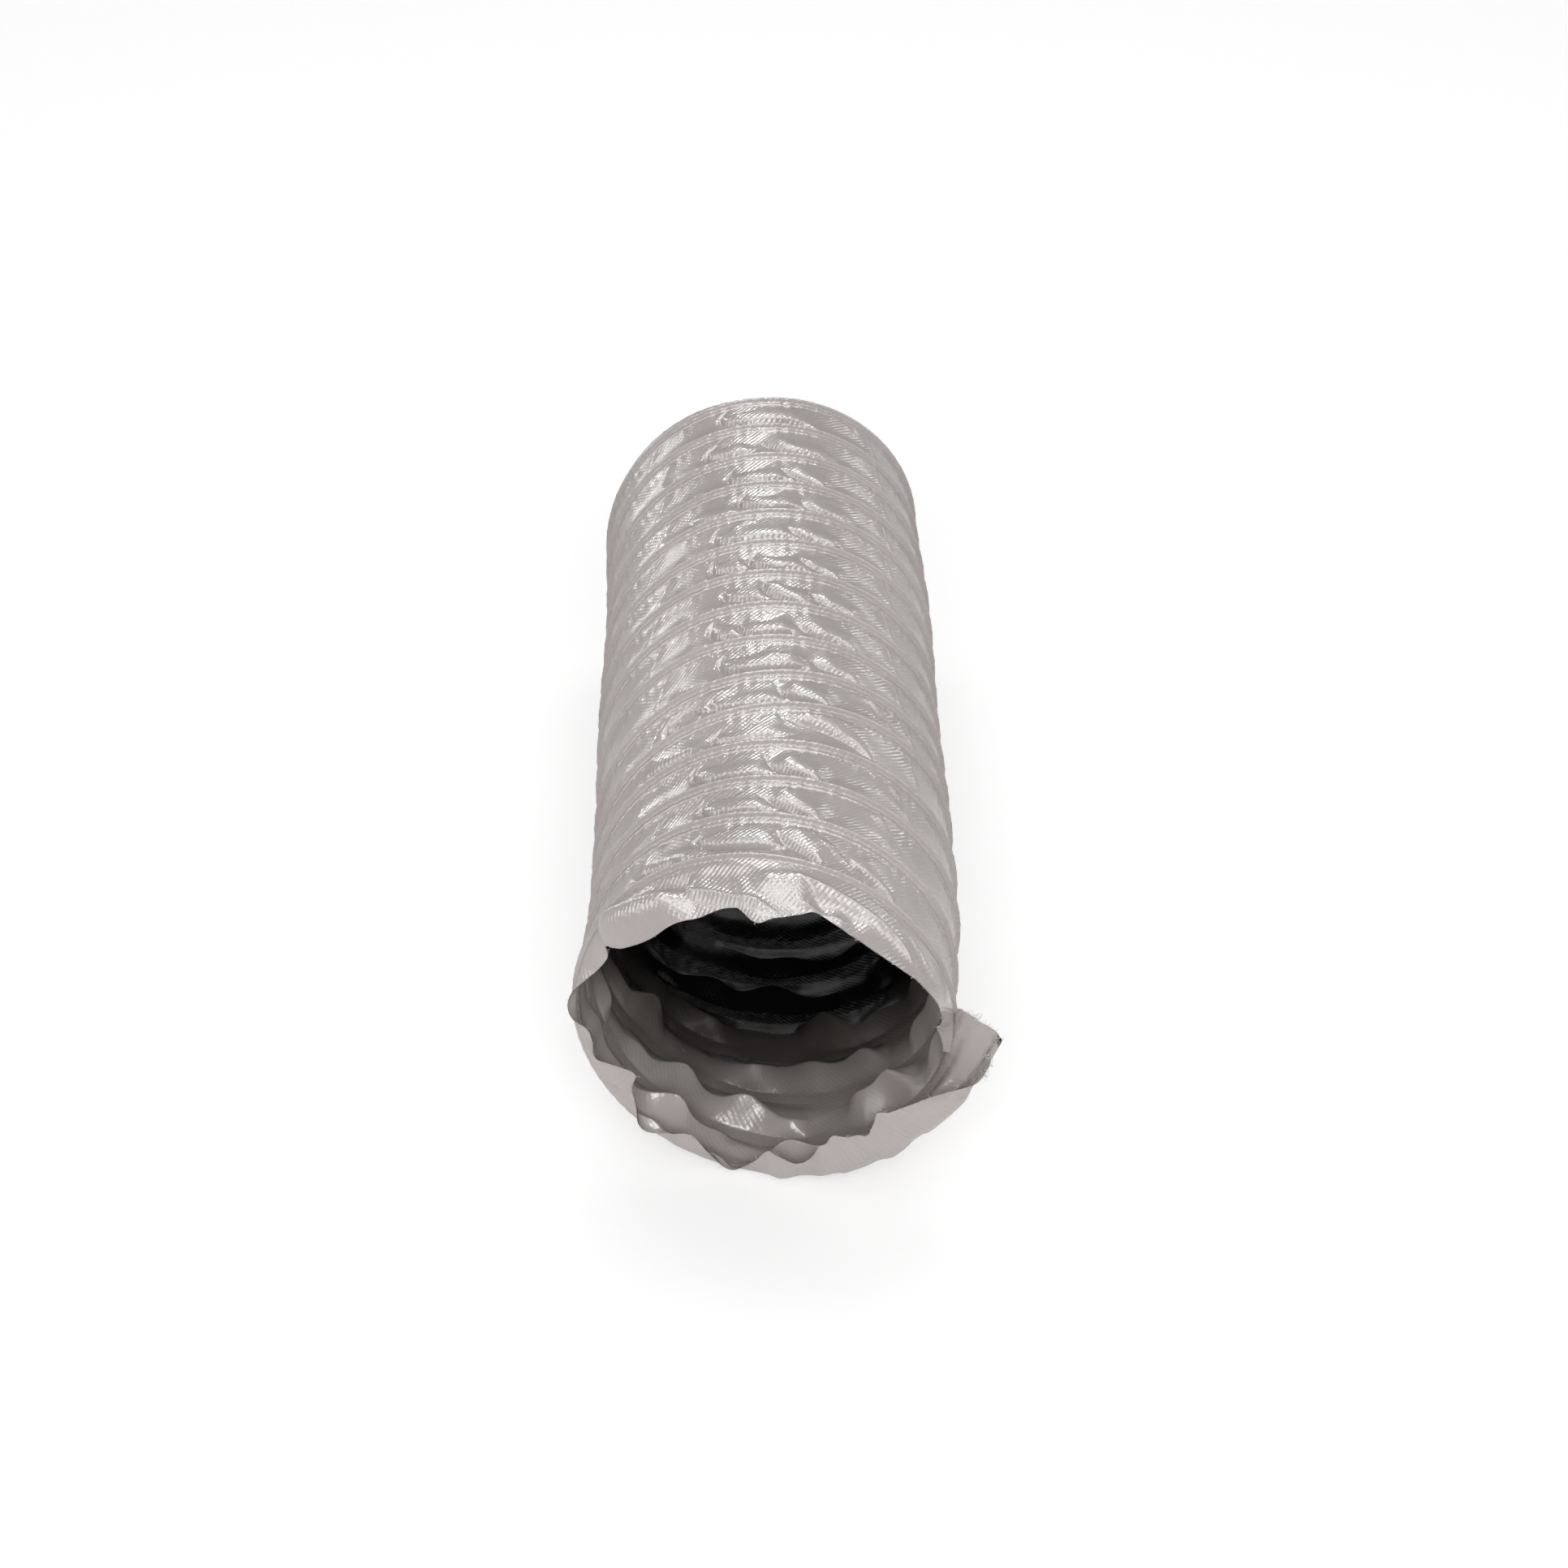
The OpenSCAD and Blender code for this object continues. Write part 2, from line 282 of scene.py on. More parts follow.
def line_distance(s, y, line):
    """Signed distance to a line and the share of its length at the nearest point."""
    best = np.full(s.shape, 1e9)
    signed = np.zeros(s.shape)
    along = np.zeros(s.shape)
    seg = np.diff(line, axis=0)
    length = np.hypot(seg[:, 0], seg[:, 1])
    total = length.sum()
    start = np.concatenate([[0], np.cumsum(length)])
    for i, (ds, dy) in enumerate(seg):
        ps, py = s - line[i, 0], y - line[i, 1]
        t = np.clip((ps * ds + py * dy) / max(length[i] ** 2, 1e-9), 0, 1)
        gs, gy = ps - t * ds, py - t * dy
        dist = np.hypot(gs, gy)
        near = dist < best
        side = np.where(ds * py - dy * ps >= 0, 1, -1)
        best = np.where(near, dist, best)
        signed = np.where(near, dist * side, signed)
        along = np.where(near, (start[i] + t * length[i]) / total, along)
    return signed, along


def fold_height(kind, high, signed, along):
    """Height of one fold, faded out toward both ends of its line."""
    fade = smooth_step(along, 0, 0.3) * (1 - smooth_step(along, 0.72, 1))
    if kind == "lip":
        t = np.clip((signed + 1.2) / LIP_ROUND, 0, 1)
        swell = np.sqrt(t * (2 - t) + 0.01) - 0.1
        swell = swell * np.exp(-(np.maximum(signed - LIP_ROUND + 2, 0) / LIP_REACH) ** 2)
        crevice = CREVICE_D * np.exp(-((signed - CREVICE_AT) / CREVICE_W) ** 2)
        return high * fade * (swell - crevice)
    if kind == "crease":
        return high * fade * np.exp(-(np.hypot(signed, 0.5) - 0.5) / CREASE_REACH)
    if kind == "lobe":
        return high * fade * np.exp(-(np.abs(signed) / LOBE_REACH) ** 2.6)
    return high * fade * np.exp(-(signed / SOFT_REACH) ** 2)


# each fold's line in mm on the unrolled duct
fold_lines = []
for gap, kind, high, points in FOLDS:
    line = dense_line(points)
    angle, share = line[:, 0], line[:, 1] / 100
    near, far = wire_y(angle + 360 * (gap - 1)), wire_y(angle + 360 * gap)
    s = np.radians(angle) * SKIN_R
    fold_lines.append((gap, kind, high, np.stack([s, near + share * (far - near)], 1)))


def folds_at(angle, y, gap):
    """Sum of the folds at points of the duct, each given by its angle, place and gap."""
    s = np.radians(angle) * SKIN_R
    total = np.zeros(s.shape)
    for number, kind, high, line in fold_lines:
        low, top = line.min(0) - FOLD_REACH, line.max(0) + FOLD_REACH
        hit = (gap == number) & (s > low[0]) & (s < top[0]) & (y > low[1]) & (y < top[1])
        if not hit.any():
            continue
        signed, along = line_distance(s[hit], y[hit], line)
        total[hit] += fold_height(kind, high, signed, along)
    return total


# %% [markdown]
# The strip sags a little between the ridges. Low down near the mouth it sags a lot: there
# the closed-up folds hang into the bore, which is what one sees when looking in.

# %% The skin's radius
WEB_SAG = 1.2
DEEP_SAG = 10.0
DEEP_FROM, DEEP_TO = 88, 128  # degrees round the duct between which the deep sag sets in
DEEP_NEAR, DEEP_GONE = -150, 0  # places along the duct between which it dies away
FOOT = 2.2
LAP_FOOT = 4.4
REST_H, REST_GAP = 1.5, 0.1  # heights over the floor at which the cloth starts to flatten, and ends
NO_WIRE = 1e4  # a place too far off to matter, for a wire that isn't there


def skin_radius(angle, y, tail_turn):
    """Outer and inner radius. tail_turn is true where the run-on turn of the mouth lies in front."""
    turns = np.arange(-1, TURNS + 1)
    lines = wire_y(angle[None] + 360.0 * turns.reshape((-1,) + (1,) * angle.ndim))
    lines[0] = np.where(tail_turn, lines[0], -NO_WIRE)
    lines[-1] = NO_WIRE
    gap = (lines <= y[None]).sum(0) - 1
    near = np.take_along_axis(lines, np.maximum(gap, 0)[None], 0)[0]
    far = np.take_along_axis(lines, (gap + 1)[None], 0)[0]
    near_d = np.where(gap >= 0, y - near, NO_WIRE)
    far_d = np.where(far < 0.9 * NO_WIRE, far - y, NO_WIRE)
    no_near, no_far = near_d > 0.9 * NO_WIRE, far_d > 0.9 * NO_WIRE
    width = np.where(no_near | no_far, PITCH, near_d + far_d)
    share = np.clip((near_d - FOOT) / (width - FOOT - LAP_FOOT), 0, 1)
    share = np.where(no_near, 1.0, share)
    share = np.where(no_far, np.clip((near_d - FOOT) / 40, 0, 0.6), share)
    hold = smooth_step(share, 0, 0.10) * smooth_step(1 - share, 0, 0.16)
    a = np.radians(angle)
    run = gap + angle / 360
    # the deep sag: how far it hangs round the duct, and to which side its crest leans
    under = smooth_step(np.abs(angle), DEEP_FROM, DEEP_TO) * (1 - smooth_step(y, DEEP_NEAR, DEEP_GONE))
    deep = 0.5 + 0.32 * np.sin(5 * a + 2.1 * run) + 0.3 * np.sin(9 * a - 1.7 * run + 1) + 0.2 * np.sin(17 * a + run)
    lean = 0.8 * np.sin(6 * a - 1.3 * run + 0.6) + 0.5 * np.sin(13 * a + 2.4 * run)
    crest = 1 - np.abs(2 * share ** (2.0 ** lean) - 1)
    free = -WEB_SAG * np.sin(np.pi * share) ** 2 - DEEP_SAG * under * np.clip(deep, 0.1, 1.2) * crest
    # fine puckers where the weld gathers the cloth
    pucker = 0.10 * np.sin(68 * a + 5 * run) + 0.08 * np.sin(97 * a - 3 * run)
    by_weld = np.exp(-(share / 0.2) ** 2) + np.exp(-((1 - share) / 0.25) ** 2)
    free = free + pucker * by_weld * smooth_step(share, 0, 0.05)
    free = free + hold * folds_at(angle, y, gap)
    # the run-on turn springs open, and the strip behind it follows
    opened = np.where((gap == 0) & tail_turn, flare(angle - 360) * smooth_step(far_d, 0, width), 0)
    opened = np.where((gap < 0) & tail_turn, flare(angle - 360), opened)
    free = free + opened
    ridge = np.maximum(bead(near_d), np.maximum(bead(far_d), lap(far_d)))
    return SKIN_R + free + ridge, SKIN_R - FABRIC + free


def round_axis(angle, y, r):
    """Points at an angle and a radius round the duct's middle line."""
    a = np.radians(angle)
    return np.stack([axis_x(y) + r * np.sin(a), y, AXIS_Z + r * np.cos(a)], -1)


def on_floor(points):
    """The cloth lies flat on the floor: what would sink under it is eased up to just over it."""
    z = points[..., 2]
    soft = REST_H - REST_GAP
    points[..., 2] = np.where(z < REST_H, REST_GAP + soft * np.exp((z - REST_H) / soft), z)
    return points


def skin_points(angle, y, tail_turn):
    """Outer and inner points of the skin, in mm."""
    return [on_floor(round_axis(angle, y, r)) for r in skin_radius(angle, y, tail_turn)]


# %% [markdown]
# ## Rings of skin
#
# Between two ridges the duct has a part that closes up and a part that bends. The skin is
# cut there by planes that lean like the wire, into a near ring and a far ring.

# %% Cut planes of the rings
RIDGE_CUT = -1.0
FIRST_CUT = 2.5
ROOT_TURN = 8  # the turn that stands still


def turn_top(k):
    """Place of the top of turn k along the duct."""
    return FIRST_Y + PITCH * (k - 1) + TURN_DRIFT[k - 1]


def turn_lean(k):
    """Lean of the planes round turn k: mm along the duct for each mm to the side."""
    return (PITCH / 4 + TURN_LEAN[k - 1]) / RIDGE_R


def plane_at(k, ahead):
    """A plane behind turn k, eased to the next turn's: its place on the axis and its lean."""
    if k >= TURNS:
        return turn_top(TURNS) + ahead, turn_lean(TURNS)
    t = max(0, ahead / PITCH)
    span = turn_top(k + 1) - turn_top(k)
    return turn_top(k) + ahead / PITCH * span, (1 - t) * turn_lean(k) + t * turn_lean(k + 1)


def plane_y(plane, angle):
    """Where a plane cuts the skin, at each angle."""
    at, lean = plane
    side = SKIN_R * np.sin(np.radians(angle))
    y = at + lean * side
    return at + lean * (axis_x(y) - AXIS_X + side)


# columns round the duct in degrees, closer together on top than below
TOP_STEP, LOW_STEP, TOP_TO = 0.58, 1.15, 112
top_cols = np.arange(-TOP_TO, TOP_TO, TOP_STEP)
low_cols = np.arange(TOP_TO, 360 - TOP_TO, LOW_STEP)
COLUMNS = np.sort((np.concatenate([top_cols, low_cols]) + 180) % 360 - 180)
FINE = 1.0
NEAR_ROWS, FAR_ROWS, FIRST_ROWS, LIP_ROWS, END_ROWS = (int(n * FINE) for n in (26, 30, 46, 60, 40))
print("columns", len(COLUMNS))


# %% Rows that crowd round the ridges
def row_places(angle, low, high, rows, tail_turn):
    """Places of the rows in each column, closer together near a wire."""
    y = low[None] + (high - low)[None] * np.linspace(0, 1, 121)[:, None]
    dens = np.ones_like(y)
    for turn in range(-1, TURNS):
        d = wire_y(angle + 360.0 * turn)[None] - y
        extra = 3.6 * np.exp(-(d / 1.7) ** 2) + 0.9 * np.exp(-((d - LAP_W) / 0.9) ** 2)
        dens += np.where(tail_turn[None], extra, 0) if turn < 0 else extra
    total = np.cumsum(dens, 0)
    total = (total - total[0]) / (total[-1] - total[0])
    wanted = np.linspace(0, 1, rows)
    return np.stack([np.interp(wanted, total[:, j], y[:, j]) for j in range(len(angle))], 1)


# %% [markdown]
# ## From grids to a closed skin
#
# Every piece of fabric is two grids of points, outside and inside, joined along their rims.
# The normals are worked out from the grids and stored, and rows that two rings share
# get the same normals, so the skin looks unbroken where it is cut.

# %% Helpers that make a skin
def add_object(name, data):
    obj = bpy.data.objects.new(name, data)
    bpy.context.scene.collection.objects.link(obj)
    return obj


def unit(v):
    return v / np.maximum(np.linalg.norm(v, axis=-1, keepdims=True), 1e-9)


def grid_normals(p, closed=False):
    """Outward normals of a grid of points (rows, columns, 3)."""
    if closed:
        p = np.concatenate([p[:, -1:], p, p[:, :1]], 1)
    n = unit(np.cross(np.gradient(p, axis=1), np.gradient(p, axis=0)))
    return n[:, 1:-1] if closed else n


def edge_normals(angle, y, tail_turn, step=0.15):
    """Normals from the surface function itself, for the rows that two rings share."""
    turned = np.degrees(step / SKIN_R)
    left, right = [skin_points(angle + s * turned, y, tail_turn) for s in (-1, 1)]
    front, back = [skin_points(angle, y + s * step, tail_turn) for s in (-1, 1)]
    return [unit(np.cross(right[i] - left[i], back[i] - front[i])) for i in (0, 1)]


def shell(name, outer, inner, outer_n, inner_n, uv, closed=False):
    """A closed skin between two grids in mm. closed: the columns go all the way round."""
    rows, cols = outer.shape[:2]
    count = rows * cols
    co = np.concatenate([outer.reshape(-1, 3), inner.reshape(-1, 3)]) * MM
    normal = np.concatenate([outer_n.reshape(-1, 3), -inner_n.reshape(-1, 3)])
    idx = np.arange(count).reshape(rows, cols)
    cur = idx if closed else idx[:, :-1]
    nxt = np.roll(idx, -1, 1) if closed else idx[:, 1:]
    top = np.stack([cur[:-1], nxt[:-1], nxt[1:], cur[1:]], -1).reshape(-1, 4)
    faces = [top, top[:, ::-1] + count,
             np.stack([cur[0], cur[0] + count, nxt[0] + count, nxt[0]], -1),
             np.stack([cur[-1], nxt[-1], nxt[-1] + count, cur[-1] + count], -1)]
    if not closed:
        for col, flip in ((idx[:, 0], False), (idx[:, -1], True)):
            a, b = col[:-1], col[1:]
            side = np.stack([a, b, b + count, a + count], -1)
            faces.append(side[:, ::-1] if flip else side)
    faces = np.concatenate(faces).astype(np.int32)
    mesh = bpy.data.meshes.new(name)
    mesh.vertices.add(len(co))
    mesh.vertices.foreach_set("co", co.astype(np.float32).ravel())
    mesh.loops.add(faces.size)
    mesh.loops.foreach_set("vertex_index", faces.ravel())
    mesh.polygons.add(len(faces))
    mesh.polygons.foreach_set("loop_start", np.arange(0, faces.size, 4, dtype=np.int32))
    mesh.update(calc_edges=True)
    corner = np.tile(uv.reshape(-1, 2), (2, 1))[faces].astype(np.float32)
    if closed:
        # the faces over the floor's seam, where the angle jumps, get a turn of the strip added
        wrapped = np.ptp(corner[:, :, 0], axis=1) > 100
        part = corner[wrapped]
        part[:, :, 0] += np.where(part[:, :, 0] < 0, 2 * np.pi * SKIN_R, 0)
        part[:, :, 1] -= np.where(part[:, :, 0] > np.pi * SKIN_R + 1e-3, PITCH, 0)
        corner[wrapped] = part
    mesh.uv_layers.new(name="strip_mm").data.foreach_set("uv", corner.ravel())
    side = mesh.attributes.new("inside", "FLOAT", "POINT")
    side.data.foreach_set("value", np.repeat([0.0, 1.0], count).astype(np.float32))
    mesh.polygons.foreach_set("use_smooth", np.ones(len(faces), bool))
    mesh.normals_split_custom_set_from_vertices(normal.astype(np.float32))
    return add_object(name, mesh)


def strip_uv(angle, y):
    """Place on the strip in mm: round the duct, and across the strip from the even helix."""
    return np.stack([np.radians(angle) * SKIN_R, y - PITCH * angle / 360], -1)


# %% Building the rings
def skin_piece(name, wide, y, tail_turn, shared_rows, closed=True, shift=0, uv_angle=None):
    """A piece of skin on a grid of angles and places, moved by shift. The rows that another piece
    shares get their normals from the surface function. Gives the object and its two grids."""
    outer, inner = [p + shift for p in skin_points(wide, y, np.broadcast_to(tail_turn, y.shape))]
    outer_n, inner_n = grid_normals(outer, closed), grid_normals(inner, closed)
    for row in shared_rows:
        outer_n[row], inner_n[row] = edge_normals(wide[row], y[row], tail_turn)
    uv = strip_uv(wide if uv_angle is None else uv_angle, y)
    return shell(name, outer, inner, outer_n, inner_n, uv, closed), outer, inner


def make_ring(name, low_plane, high_plane, rows):
    """A ring of skin between two cut planes."""
    tail_turn = COLUMNS >= TAIL_FROM
    y = row_places(COLUMNS, plane_y(low_plane, COLUMNS), plane_y(high_plane, COLUMNS), rows, tail_turn)
    return skin_piece(name, np.broadcast_to(COLUMNS, y.shape), y, tail_turn, (0, -1))[0]


# where a gap is cut between its near and its far ring, in mm behind its front turn; the part that
# closes up is the longer one, and turns 4 and 5 lean apart
FRONT_MIDDLE, BACK_MIDDLE, ODD_MIDDLES = 12.5, 14.5, {4: 14.0}


def middle_of(k):
    return ODD_MIDDLES.get(k, BACK_MIDDLE if k >= ROOT_TURN else FRONT_MIDDLE)


near_rings, far_rings = {}, {}
for k in range(1, TURNS):
    start, middle = plane_at(k, FIRST_CUT if k == 1 else RIDGE_CUT), plane_at(k, middle_of(k))
    near_rings[k] = make_ring(f"fabric_near_{k:02d}", start, middle, NEAR_ROWS)
    far_rings[k] = make_ring(f"fabric_far_{k:02d}", middle, plane_at(k + 1, RIDGE_CUT), FAR_ROWS)
print("rings", len(near_rings) + len(far_rings))

# %% [markdown]
# ## The cut mouth
#
# The duct was cut off with a knife, so its mouth is raw cloth. From the last run of the wire
# the strip goes on forward as a loose lip: on top it droops inwards, low down it is turned
# in and ruffled. Its raw edge is a list of points: angle along the strip, radius, and how
# far it reaches in front of the wire.

# %% The front of the body, up to the last run of the wire
TAIL_ROLL, ROLL_OVER, SLANT_OVER = 5, 16, 25  # mm; degrees from the tail's tip


def first_turn():
    """The first full turn with the strip that runs on to the tail, and the tail's cut end."""
    angles = np.concatenate([COLUMNS[COLUMNS > TAIL_FROM], COLUMNS[COLUMNS < TAIL_FROM] + 360])
    angles = np.concatenate([[TAIL_FROM], angles, [TAIL_FROM + 360]])
    folded = (angles + 180) % 360 - 180
    folded[-1] = TAIL_FROM
    tail_turn = angles < 180
    low = wire_y(angles - 360) - FOOT
    high = plane_y(plane_at(1, FIRST_CUT), folded)
    y = row_places(folded, low, high, FIRST_ROWS, tail_turn)
    across = np.linspace(0, 1, len(y))[:, None]
    # the tail is cut at a slant, and its end is rolled outwards
    slant = (1 - across) ** 1.5 * (TIP_AT - TAIL_FROM)
    wide = folded + slant * np.clip(1 - (angles - TAIL_FROM) / SLANT_OVER, 0, 1)
    rolled = TAIL_ROLL * np.clip(1 - (angles - TAIL_FROM) / ROLL_OVER, 0, 1) ** 2 * np.sin(np.pi * across) ** 1.5
    obj, outer, inner = skin_piece("fabric_first_turn", wide, y, tail_turn, (-1,), False,
                                   rolled[..., None] * (0.75, 0, 0.8), np.broadcast_to(angles, y.shape))
    return obj, (0.5 * (outer + inner))[:, 0]


first_piece, tail_end = first_turn()

# %% The raw edge of the mouth: angle along the strip, radius, reach in front of the wire
RAW_EDGE = [
    (-268, 87, 4), (-265, 85, 6), (-261, 81, 8), (-258, 75, 8), (-254, 68, 8), (-247, 61, 8), (-240, 56.5, 8),
    (-233, 55, 7), (-226, 57, 7), (-220, 60, 7), (-214, 59, 6), (-209, 55, 6),
    (-200, 62, 7), (-191, 67, 7), (-182, 63, 7), (-175, 69, 8), (-167, 74, 9), (-160, 70, 8), (-152, 66, 7),
    (-146, 70, 8), (-141, 75, 9), (-136, 75, 9), (-131, 70, 8), (-126, 67, 7), (-118, 65, 6), (-112, 69, 7),
    (-107, 73, 9), (-101, 71.5, 8), (-97, 72, 7), (-92, 77, 8), (-87, 79, 8), (-82, 77.5, 8), (-76, 73, 9),
    (-70, 69.5, 10), (-66, 68.5, 10.5), (-62, 69.5, 12.5), (-58, 71, 16), (-54, 70, 22), (-49, 69.5, 26),
    (-42, 69, 29), (-34, 69.5, 30), (-23, 70, 29), (-12, 70, 27), (-10, 70, 28), (-7.5, 70, 35),
    (0, 70, 33.5), (8, 70, 29), (16, 70, 25), (22, 70, 29), (28, 70, 33), (44, 70, 34), (52, 70, 31), (62, 70.5, 30),
    (70, 69.5, 26), (78, 68.3, 19), (84, 67.8, 11), (88, 68.5, 6), (94, 71, 3.5), (100, 73, 3)]
edge_angle, edge_r, edge_reach = np.array(RAW_EDGE).T

# folds of the lip: kind, height, points (angle, mm in front of the wire)
LIP_FOLDS = [
    ("lobe", 7.0, [(-62, 6), (-53, 12), (-44, 17), (-32, 21), (-22, 24)]),
    ("soft", -2.5, [(-34, 3), (-28, 8), (-20, 12)]),
    ("crease", 2.2, [(-28, 14), (-20, 18), (-12, 22), (-3, 28), (3, 33)]),
    ("soft", 1.6, [(-4, 12), (6, 15), (16, 14)]),
    ("crease", 2.4, [(2, 8), (16, 11), (28, 15), (36, 20), (46, 25), (54, 31)]),
    ("crease", 1.6, [(20, 3), (34, 7), (46, 13), (58, 21), (68, 29)]),
    ("soft", -2.0, [(12, 26), (22, 19), (32, 25)]),
    ("crease", 1.5, [(6, 23), (15, 24), (26, 25)]),
    ("crease", 1.4, [(52, 2), (62, 9), (72, 20)]),
    ("soft", -1.5, [(-20, 4), (-10, 8), (0, 8)]),
] + [("crease", -high, [(at, 9), (at + 6, 5), (at + lean, 1), (at + lean + 6, -2)])
     for at, lean, high in ((-110, 9, 3), (-126, 12, 4), (-147, 14, 5), (-170, 15, 4), (-184, 14, 5), (-205, 12, 4),
                            (-222, 10, 3), (-238, 9, 3))]
LIP_FOLD_REACH = 22
TIP_TURN, LIP_END, LIP_STEP = -268, 100.01, 0.56  # degrees along the strip, from the tail's tip
lip_lines = [(kind, high, dense_line(p) * np.array([np.radians(SKIN_R), 1])) for kind, high, p in LIP_FOLDS]


def lip_points(turn_angle, q):
    """The lip: q runs from 0 in front of the wire to 1 at the raw edge."""
    r_edge = through(turn_angle, edge_angle, edge_r)
    reach = through(turn_angle, edge_angle, edge_reach)
    start_r = SKIN_R + bead(FOOT) + flare(turn_angle)
    # a cubic that leaves the wire straight forward and ends at the raw edge
    run = np.maximum(reach - FOOT, 3)
    turned_in = smooth_step(start_r - r_edge, 5, 14)
    y_a, r_a = -FOOT, start_r
    y_b, r_b = y_a - 0.45 * run - 5 * turned_in, start_r
    y_d, r_d = -reach, r_edge
    y_c = y_d + (1 - turned_in) * 0.3 * run - 6 * turned_in
    r_c = r_d + (start_r - r_d) * (0.25 + 0.35 * turned_in)
    p = 1 - q
    ahead = p ** 3 * y_a + 3 * p * p * q * y_b + 3 * p * q * q * y_c + q ** 3 * y_d
    r = p ** 3 * r_a + 3 * p * p * q * r_b + 3 * p * q * q * r_c + q ** 3 * r_d
    s = np.radians(turn_angle) * SKIN_R
    hold = smooth_step(q, 0.02, 0.3)
    for kind, high, line in lip_lines:
        low, top = line.min(0) - LIP_FOLD_REACH, line.max(0) + LIP_FOLD_REACH
        hit = (s > low[0]) & (s < top[0])
        if hit.any():
            signed, along = line_distance(s[hit], -ahead[hit], line)
            r[hit] += hold[hit] * fold_height(kind, high, signed, along)
    return on_floor(round_axis(turn_angle, wire_y(turn_angle) + ahead, r))


def make_lip():
    angles = np.arange(TIP_TURN, LIP_END, LIP_STEP / FINE)
    q = np.linspace(0, 1, LIP_ROWS)[:, None] * np.ones(len(angles))
    wide = np.broadcast_to(angles, q.shape)
    outer = lip_points(wide, q)[::-1]
    n = grid_normals(outer)
    return shell("fabric_mouth_lip", outer, outer - FABRIC * n, n, n, strip_uv(wide, outer[:, :, 1]))


lip = make_lip()
print("lip", len(lip.data.polygons))

# %% The far end: the strip runs on behind the last ridge and curls in
END_LEN, CURL_FROM, CURL_IN = 19.5, 3.5, 0.75
HUMPS = ((18, 5), (29, 5), (44, 6))  # where the curl is held open: angle, half width


def make_far_end():
    """The end of the strip and, as points in mm, its raw edge."""
    a = np.radians(COLUMNS)
    tail_turn = COLUMNS >= TAIL_FROM
    low = plane_y(plane_at(TURNS, RIDGE_CUT), COLUMNS)
    ragged = 0.8 * np.sin(7 * a + 0.4) + 0.6 * np.sin(13 * a) + 0.5 * np.sin(23 * a + 1)
    high = np.maximum(low + 6, turn_top(TURNS) + END_LEN - 7 * np.cos(a + 0.35) + ragged + 4 * np.sin(a))
    y = row_places(COLUMNS, low, high, END_ROWS, tail_turn)
    behind = y - wire_y(COLUMNS + 360 * (TURNS - 1))
    past = np.maximum(0, y - turn_top(TURNS) - CURL_FROM) * smooth_step(behind, 1.5, 9)
    hump = sum(np.exp(-((COLUMNS - at) / w) ** 2) for at, w in HUMPS)
    curl = past * (CURL_IN - 0.5 * np.clip(hump, 0, 1) + 0.08 * np.sin(5 * a))
    shift = -curl[..., None] * np.stack([np.sin(a), 0 * a, np.cos(a)], -1)
    obj, outer, _ = skin_piece("fabric_far_end", np.broadcast_to(COLUMNS, y.shape), y, tail_turn, (0,), shift=shift)
    return obj, outer[-1]


far_piece, far_edge = make_far_end()

# %% [markdown]
# ## The spring wire
#
# The wire is hard-drawn spring steel, 1.8 mm thick, one long helix inside the ridge. It
# follows a path, so Geometry Nodes sweep a circle along it. The path is cut twice a turn,
# on top and at the floor.

# %% Helpers for node trees and colours
def add_node(tree, kind, links=(), **settings):
    """Add a node, set its properties or input values, and link its inputs, each to a socket or to
    the first output of a node."""
    node = tree.nodes.new(kind)
    for key, value in settings.items():
        if hasattr(node, key):
            setattr(node, key, value)
        else:
            node.inputs[key.replace("_", " ")].default_value = value
    for key, source in dict(links).items():
        tree.links.new(getattr(source, "outputs", [source])[0], node.inputs[key])
    return node


def linear(hex_colour):
    """sRGB hex to linear RGBA."""
    c = [int(hex_colour[i:i + 2], 16) / 255 for i in (1, 3, 5)]
    return [v / 12.92 if v <= 0.04045 else ((v + 0.055) / 1.055) ** 2.4 for v in c] + [1.0]


def geometry_tree(name, inputs, result):
    """A Geometry Nodes tree: the tree, what its named inputs bring, and a function that adds a node."""
    tree = bpy.data.node_groups.new(name, "GeometryNodeTree")
    for label, kind in inputs:
        tree.interface.new_socket(label, in_out="INPUT", socket_type="NodeSocket" + kind)
    tree.interface.new_socket(result, in_out="OUTPUT", socket_type="NodeSocketGeometry")
    given = tree.nodes.new("NodeGroupInput").outputs
    return tree, given, lambda *kind_and_links, **settings: add_node(tree, *kind_and_links, **settings)


def finish_tree(tree, shape, finish):
    """End a tree with real geometry that carries its material."""
    whole = add_node(tree, "GeometryNodeRealizeInstances", {"Geometry": shape})
    done = add_node(tree, "GeometryNodeSetMaterial", {"Geometry": whole, "Material": finish})
    tree.links.new(done.outputs[0], tree.nodes.new("NodeGroupOutput").inputs[0])
    return tree


def new_material(name):
    """An empty material, and a function that adds a shader node to it."""
    mat = bpy.data.materials.new(name)
    mat.use_nodes = True
    mat.node_tree.nodes.clear()
    return mat, lambda kind, links=(), **settings: add_node(mat.node_tree, "ShaderNode" + kind, links, **settings)


def colour_ramp(node, fac, first, *between, last):
    """A ramp of colours, each given as a place from 0 to 1 and a hex colour."""
    ramp = node("ValToRGB", {"Fac": fac})
    for element, (at, colour) in zip(ramp.color_ramp.elements, (first, last)):
        element.position, element.color = at, linear(colour)
    for at, colour in between:
        ramp.color_ramp.elements.new(at).color = linear(colour)
    return ramp


def finish_material(mat, node, shader):
    mat.node_tree.links.new(shader.outputs[0], node("OutputMaterial").inputs[0])
    return mat


